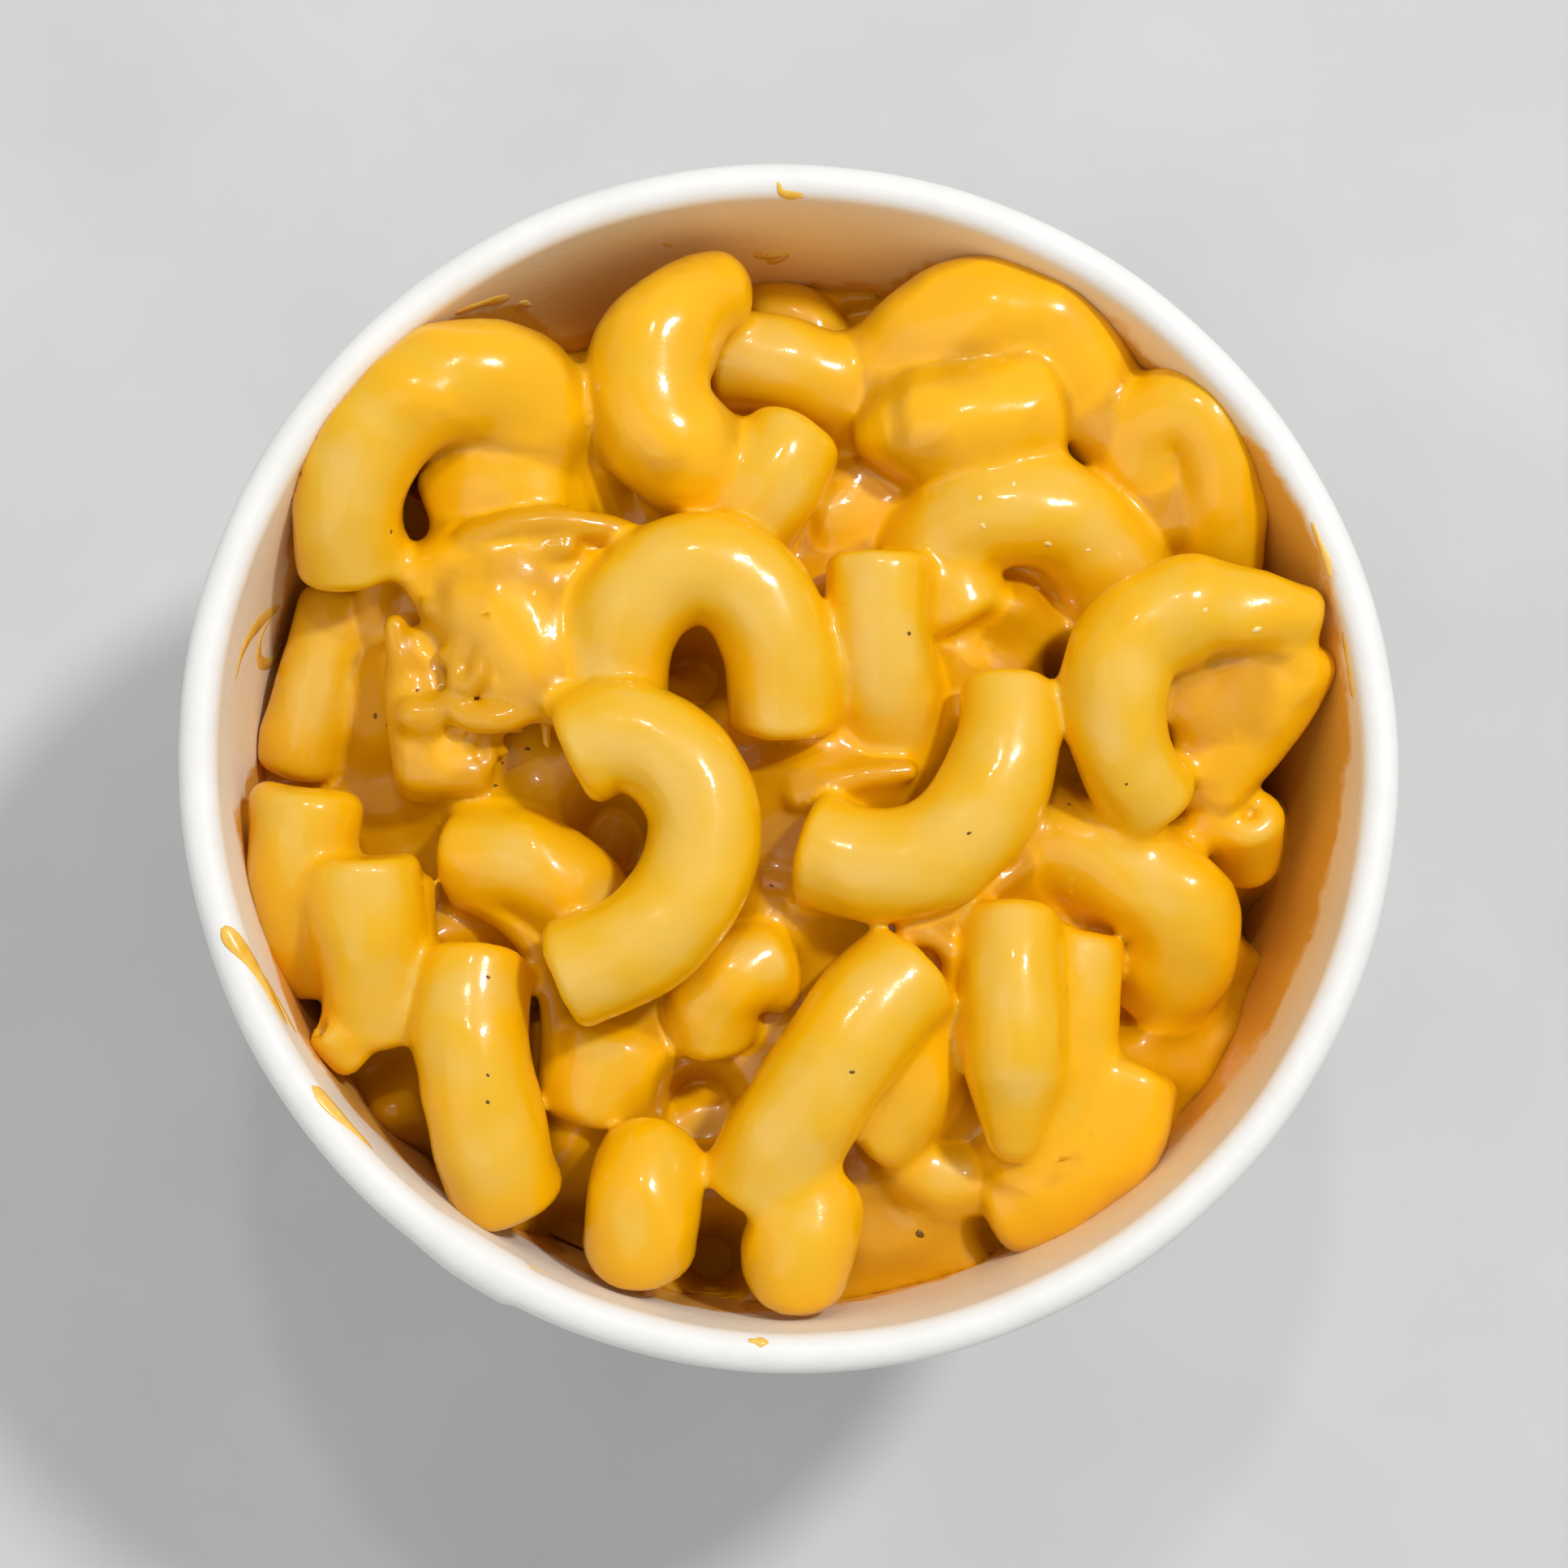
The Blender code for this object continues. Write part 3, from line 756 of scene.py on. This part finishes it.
def addShreds(food):
    # half-melted shreds of cheese on the lump at the left, each a short bent thread
    dice = np.random.default_rng(shredSet["seed"])
    centre, reach = shredSet["centre"], shredSet["reach"]
    threads = []
    for _ in range(shredSet["count"]):
        angle, out = dice.uniform(0, math.tau), math.sqrt(dice.uniform(0, 1))
        x = centre[0] + reach[0] * out * math.cos(angle)
        y = centre[1] + reach[1] * out * math.sin(angle)
        z = shredSet["top"] - 4.0 * out ** 2 + dice.uniform(-0.6, 0.2)
        facing = dice.uniform(0, math.tau)
        half = dice.uniform(1.2, 3.0)
        ahead = Vector((math.cos(facing), math.sin(facing), dice.uniform(-0.25, 0.25))) * half
        bend = Vector((-ahead.y, ahead.x, 0)) * dice.uniform(-0.5, 0.5)
        middle = Vector((x, y, z))
        threads.append(([middle - ahead, middle + bend, middle + ahead], dice.uniform(0.4, 0.8)))
    threads += [
        ([(-26.5, 4.4, 56.6), (-23.3, 3.0, 57.3), (-19.6, 5.0, 56.9)], 1.15),
        ([(-25, 17.0, 57.8), (-19, 18.4, 58.6), (-12.6, 17.6, 57.2)], 1.15),
        ([(-23.5, 15.4, 58.2), (-17.5, 16.4, 58.6)], 0.8),
        ([(-30.8, 10.8, 55.5), (-30.4, 8.2, 55.3), (-29.3, 6.0, 55.6)], 0.9),
        ([(-29.3, -0.6, 54), (-24.8, -0.8, 54.2)], 1.4),
        ([(-29.3, 3.6, 56), (-28.3, 3.4, 56)], 1.5),
    ]
    for way, thick in threads:
        points = wayPoints(way)
        window = windowAround(points, thick + 2.0)
        along, away, length = alongWay(points, *windowGrid(window))
        over = np.maximum(np.maximum(-along, along - length), 0)
        food[window] = melt(food[window], np.hypot(away, over) - thick, 0.9)
    return food


def sampleField(field, places):
    # the field's value at each place, blended from the eight grid points round it
    step = foodSet["voxel"]
    spot = (places - np.array([axis[0] for axis in axes])) / step
    base = np.clip(np.floor(spot).astype(int), 0, np.array(field.shape) - 2)
    part = spot - base
    total = 0
    for corner in range(8):
        shift = np.array([corner & 1, corner >> 1 & 1, corner >> 2 & 1])
        weight = np.prod(np.where(shift, part, 1 - part), axis=1)
        at = base + shift
        total = total + weight * field[at[:, 0], at[:, 1], at[:, 2]]
    return total


def meshFromField(name, field, fineness):
    grid = openvdb.FloatGrid()
    grid.background = foodSet["far"]
    grid.copyFromArray(np.clip(field, -foodSet["far"], foodSet["far"]).astype(np.float32), tolerance=0.0)
    grid.gridClass = openvdb.GridClass.LEVEL_SET
    points, triangles, quads = grid.convertToPolygons(isovalue=0.0, adaptivity=fineness)
    places = points * foodSet["voxel"] + np.array([axis[0] for axis in axes])
    faces = [tuple(int(i) for i in face[::-1]) for face in triangles]
    faces += [tuple(int(i) for i in face[::-1]) for face in quads]
    return meshObject(name, (places * mm).tolist(), faces), places


def addFood():
    layMacaroni()
    layDeepMacaroni()
    food, pasta = foodFields()
    print("food fields worked out")
    piece, places = meshFromField("macaroniAndSauce", food, 0.02)
    flipIfInsideOut(piece)
    depth = sampleField(pasta, places)
    normals = np.empty(len(places) * 3, np.float32)
    piece.data.vertex_normals.foreach_get("vector", normals)
    up = normals.reshape(-1, 3)[:, 2]
    x, y, z = places.T
    patchy = waves(x, y, z, 3.5, 12, 21)
    thick = np.clip((depth - 0.12) / 1.1, 0, 1)
    # the sauce share also rises where the surface turns from up, so tube tops come out paler and sides and
    # undersides a deeper, darker gold: partly sauce running down the sides, partly painted shade
    slope = np.clip(1 - up, 0, 1.2)
    sauce = np.clip(thick + 0.7 * slope + 0.05 * patchy, 0, 1)
    layer = piece.data.attributes.new("sauce", "FLOAT", "POINT")
    layer.data.foreach_set("value", sauce.astype(np.float32))
    piece.data.materials.append(foodMaterial())
    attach(piece, "root")
    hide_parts("macaroni_heap")
    print("food made:", len(piece.data.polygons), "faces")
    return piece


def flipIfInsideOut(piece):
    bm = bmesh.new()
    bm.from_mesh(piece.data)
    if bm.calc_volume(signed=True) < 0:
        bmesh.ops.reverse_faces(bm, faces=bm.faces)
        bm.to_mesh(piece.data)
    bm.free()
    piece.data.polygons.foreach_set("use_smooth", [True] * len(piece.data.polygons))


# deepSauce, the end of the ramp, also colours sides and undersides that turn from up, so part of its
# darkness is painted shade
colourSet = {
    "pasta": fromSrgb(232, 186, 72),
    "golden": fromSrgb(234, 180, 24),
    "thinSauce": fromSrgb(240, 178, 0),
    "sauce": fromSrgb(246, 182, 0),
    "deepSauce": fromSrgb(218, 156, 0),
}


def foodMaterial():
    made, tree, shader = newMaterial("cheeseAndPasta")
    # the sauce share runs the colour from pale pasta to dark deep sauce; on sides and undersides part of
    # that darkening is painted shade
    layer = addNode(tree, "ShaderNodeAttribute", {"attribute_name": "sauce"})
    fine = noiseNode(tree, 700, 3, 0.6)
    patches = noiseNode(tree, 260, 2, 0.5, 0.4)
    shift = addNode(tree, "ShaderNodeMapRange", From_Min=0.3, From_Max=0.7, To_Min=-0.04, To_Max=0.04)
    tree.links.new(patches.outputs["Fac"], shift.inputs["Value"])
    total = addNode(tree, "ShaderNodeMath", {"operation": "ADD", "use_clamp": True})
    tree.links.new(layer.outputs["Fac"], total.inputs[0])
    tree.links.new(shift.outputs["Result"], total.inputs[1])
    tone = ramp(tree, total.outputs[0], [
        (0.0, colourSet["pasta"]), (0.18, colourSet["golden"]), (0.4, colourSet["thinSauce"]),
        (0.7, colourSet["sauce"]), (1.0, colourSet["deepSauce"]),
    ])
    tree.links.new(tone.outputs["Color"], shader.inputs["Base Color"])
    soft = ramp(tree, patches.outputs["Fac"], [(0.35, grey(0.26)), (0.7, grey(0.42))])
    tree.links.new(soft.outputs["Color"], shader.inputs["Roughness"])
    wet = ramp(tree, fine.outputs["Fac"], [(0.35, grey(0.06)), (0.7, grey(0.2))])
    tree.links.new(wet.outputs["Color"], shader.inputs["Coat Roughness"])
    shader.inputs["Coat Weight"].default_value = 0.6
    bump = addNode(tree, "ShaderNodeBump", Strength=0.3, Distance=0.0001)
    tree.links.new(fine.outputs["Fac"], bump.inputs["Height"])
    tree.links.new(bump.outputs["Normal"], shader.inputs["Coat Normal"])
    shader.inputs["Subsurface Weight"].default_value = 0.18
    shader.inputs["Subsurface Radius"].default_value = (1.0, 0.55, 0.15)
    shader.inputs["Subsurface Scale"].default_value = 0.002
    shader.inputs["Specular IOR Level"].default_value = 0.22
    return made


def addCore():
    # plain sauce below the modelled top, down to the tub's base
    low, high = 7.7, foodSet["low"][2] + 3.0
    points = []
    faces = []
    around = 96
    rows = [(0.0, low), (wallInside(low) - 0.3, low), (wallInside(high) - 0.3, high), (0.0, high)]
    for radius, height in rows:
        for turn in range(around):
            angle = math.tau * turn / around
            points.append((radius * math.cos(angle) * mm, radius * math.sin(angle) * mm, height * mm))
    for row in range(len(rows) - 1):
        for turn in range(around):
            after = (turn + 1) % around
            faces.append((row * around + turn, row * around + after,
                          (row + 1) * around + after, (row + 1) * around + turn))
    core = meshObject("sauceCore", points, faces)
    bm = bmesh.new()
    bm.from_mesh(core.data)
    bmesh.ops.remove_doubles(bm, verts=bm.verts, dist=0.00001)
    bmesh.ops.recalc_face_normals(bm, faces=bm.faces)
    bm.to_mesh(core.data)
    bm.free()
    made, tree, shader = newMaterial("coreSauce")
    clouds = noiseNode(tree, 200)
    tone = ramp(tree, clouds.outputs["Fac"], [(0.3, colourSet["deepSauce"]), (0.7, colourSet["sauce"])])
    tree.links.new(tone.outputs["Color"], shader.inputs["Base Color"])
    shader.inputs["Roughness"].default_value = 0.3
    core.data.materials.append(made)
    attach(core, "root")
    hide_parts("macaroni_heap")


foodPiece = addFood()
addCore()

# smears on the paper, each with its width and thickness
# a smear's line is points of angle and distance inward and down from the rim's crest
smearList = [
    ([(160.5, 14.8), (164, 10), (168, 6.8), (172.7, 5.9)], 0.8, 0.1),
    ([(161.7, 13), (165.7, 10.8), (168, 12.5), (166.5, 16.5), (163, 17.5)], 0.6, 0.1),
    ([(175.7, 1.2), (179.2, 3.0), (183.5, 4.6)], 0.8, 0.1),
    ([(197.3, 0.2), (200.5, 1.3), (204.2, 2.6), (208.2, 3.8)], 1.5, 0.25),
    ([(201, 2.6), (205, 4.6), (209.5, 5.6)], 0.8, 0.15),
    ([(214.7, 1.2), (219.5, 1.8), (223, 2.6)], 1.1, 0.18),
    ([(239.5, 1.4), (241.2, 2.6), (245, 4.5)], 0.35, 0.1),
    ([(264.7, 0.9), (266.6, 0.8)], 0.45, 0.12),
    ([(91.3, 0.5), (90.5, 1.5), (87, 1.9)], 0.6, 0.15),
    ([(90, 4.6), (90.3, 8), (91, 11.5)], 0.4, 0.1),
    ([(93, 11.5), (91.5, 12.2), (90, 12.0), (91.3, 14.2)], 1.1, 0.25),
    ([(103.2, 7.6), (101.8, 8.8)], 0.5, 0.12),
    ([(119.5, 9.1), (118.2, 10.8)], 0.5, 0.12),
    ([(126.7, 4.2), (123, 5.8), (120.5, 7.5)], 0.9, 0.12),
    ([(24, 1.2), (20.7, 1.4), (18.2, 1.6)], 0.5, 0.12),
    ([(12.5, 2.3), (8.3, 2.6), (5.8, 2.8)], 0.5, 0.12),
]


def paperPlace(angle, along, lift):
    # a place on the paper's upper face: over the rolled rim first, then down the inside of the wall
    crest = tubSet["beadRadius"] + tubSet["paper"] / 2
    turn = along / crest
    if turn < math.pi / 2:
        radius = beadCentre[0] - (crest + lift) * math.sin(turn)
        height = beadCentre[1] + (crest + lift) * math.cos(turn)
    else:
        height = beadCentre[1] - (along - crest * math.pi / 2)
        radius = wallInside(height) - lift
    return Vector((radius * math.cos(math.radians(angle)), radius * math.sin(math.radians(angle)), height))


def addSmears():
    dice = np.random.default_rng(8)
    points = []
    faces = []
    for way, wide, thick in smearList:
        line = smoothThrough([Vector((angle, along)) for angle, along in way], steps=10)
        rows = len(line)
        start = len(points)
        swell = 1 + 0.35 * np.sin(np.linspace(0, dice.uniform(4, 9), rows) + dice.uniform(0, 6))
        for row, spot in enumerate(line):
            ahead = line[min(row + 1, rows - 1)] - line[max(row - 1, 0)]
            perDegree = math.radians(1) * 45
            side = Vector((-ahead.y, ahead.x * perDegree)).normalized()
            ease = math.sin(math.pi * (row + 0.35) / (rows - 0.3)) ** 0.5
            reach = wide * swell[row] * ease
            for across in (-1, -0.6, 0, 0.6, 1, 0):
                lift = -0.12 if across in (-1, 1) else thick * (1 - 0.5 * across ** 2) * ease
                if across == 0 and (len(points) - start) % 6 == 5:
                    lift = -0.15
                points.append(paperPlace(spot.x + side.x * reach * across / perDegree,
                                         spot.y + side.y * reach * across, lift) * mm)
        for row in range(rows - 1):
            for k in range(6):
                here, there = start + row * 6 + k, start + row * 6 + (k + 1) % 6
                faces.append((here, there, there + 6, here + 6))
        faces.append(tuple(start + k for k in range(6)))
        faces.append(tuple(start + (rows - 1) * 6 + k for k in range(5, -1, -1)))
    smears = meshObject("wallSmears", points, faces)
    tidyNormals(smears)
    made, tree, shader = newMaterial("smearedSauce")
    clouds = noiseNode(tree, 500)
    tone = ramp(tree, clouds.outputs["Fac"],
                [(0.3, fromSrgb(236, 178, 40)), (0.7, fromSrgb(246, 208, 112))])
    tree.links.new(tone.outputs["Color"], shader.inputs["Base Color"])
    gloss = ramp(tree, clouds.outputs["Fac"], [(0.3, grey(0.2)), (0.7, grey(0.4))])
    tree.links.new(gloss.outputs["Color"], shader.inputs["Roughness"])
    smears.data.materials.append(made)
    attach(smears, "root")
    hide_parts("macaroni_heap")


def tidyNormals(piece):
    bm = bmesh.new()
    bm.from_mesh(piece.data)
    bmesh.ops.recalc_face_normals(bm, faces=bm.faces)
    bm.to_mesh(piece.data)
    bm.free()


# ground pepper, and pale lumps that stand in for small bright grease glints (painted highlights) lying on
# the food: x, y, size
pepperList = [
    (10.5, -36.5, 0.52), (-32.5, 4.5, 0.4), (-1.5, -9.5, 0.25), (4, -24.5, 0.25), (-23.5, -17, 0.26),
    (-23.5, -24.5, 0.22), (-23.5, -26.5, 0.24), (9, 9.5, 0.24), (-20.5, 1.5, 0.25), (-23, -1.5, 0.24),
    (13, -6.5, 0.22), (-31, 17.5, 0.22), (-22.5, 0.4, 0.2), (25.5, -2.5, 0.2), (-31.5, 3.2, 0.26),
    (22.0, -3.2, 0.22), (-29, 5.5, 0.2),
]
glintSpeckList = [
    (14.8, 20.5, 0.4), (20.3, 17, 0.45), (20.2, 14.6, 0.5), (15.1, 18.3, 0.38), (35.8, 9.4, 0.55),
    (31.5, 10.6, 0.35), (17.5, 21.6, 0.3), (23.5, 16.6, 0.3), (-17.5, 14.2, 0.35), (-20, 12.6, 0.35),
]


def addSpecks(name, spots, colours, sink, flat):
    dice = np.random.default_rng(len(spots))
    bm = bmesh.new()
    for x, y, size in spots:
        hit, place, normal, _ = foodPiece.ray_cast(Vector((x, y, 80)) * mm, Vector((0, 0, -1)))
        if not hit:
            continue
        turn = normal.to_track_quat("Z", "Y").to_matrix().to_4x4()
        spin = Matrix.Rotation(dice.uniform(0, math.tau), 4, "Z")
        broad = size * dice.uniform(0.8, 1.3)
        narrow = size * dice.uniform(0.6, 0.9)
        shape = Matrix.Scale(mm, 4) @ Matrix.Diagonal((broad, narrow, size * flat, 1))
        where = Matrix.Translation(place - normal * sink * size * mm) @ turn @ spin @ shape
        made = bmesh.ops.create_icosphere(bm, subdivisions=2, radius=1.0, matrix=where)
        for vert in made["verts"]:
            vert.co += (vert.co - place) * dice.uniform(-0.18, 0.18)
    data = bpy.data.meshes.new(name)
    bm.to_mesh(data)
    bm.free()
    specks = bpy.data.objects.new(name, data)
    bpy.context.scene.collection.objects.link(specks)
    data.polygons.foreach_set("use_smooth", [True] * len(data.polygons))
    made, tree, shader = newMaterial(name + "Colour")
    clouds = noiseNode(tree, 2500)
    tone = ramp(tree, clouds.outputs["Fac"], [(0.35, colours[0]), (0.65, colours[1])])
    tree.links.new(tone.outputs["Color"], shader.inputs["Base Color"])
    shader.inputs["Roughness"].default_value = 0.35
    specks.data.materials.append(made)
    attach(specks, "root")
    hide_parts("macaroni_heap")


addSmears()
bpy.context.view_layer.update()
addSpecks("pepperSpecks", pepperList, (fromSrgb(78, 46, 12), fromSrgb(130, 84, 20)), 0.3, 0.5)
# pale lumps as painted highlights where small grease glints show
addSpecks("paintedGlintSpecks", glintSpeckList, (fromSrgb(240, 206, 120), fromSrgb(248, 220, 150)), 0.45, 0.7)
print("smears and specks added")


def addFloor():
    half = 1.2
    corners = [(-half, -half, 0), (half, -half, 0), (half, half, 0), (-half, half, 0)]
    floor = meshObject("floor", corners, [(0, 1, 2, 3)], smooth=False)
    made, tree, shader = newMaterial("paleFloor")
    clouds = noiseNode(tree, 30, 4)
    tone = ramp(tree, clouds.outputs["Fac"], [(0.3, grey(0.56)), (0.7, grey(0.62))])
    tree.links.new(tone.outputs["Color"], shader.inputs["Base Color"])
    shader.inputs["Roughness"].default_value = 0.7
    floor.data.materials.append(made)


addFloor()
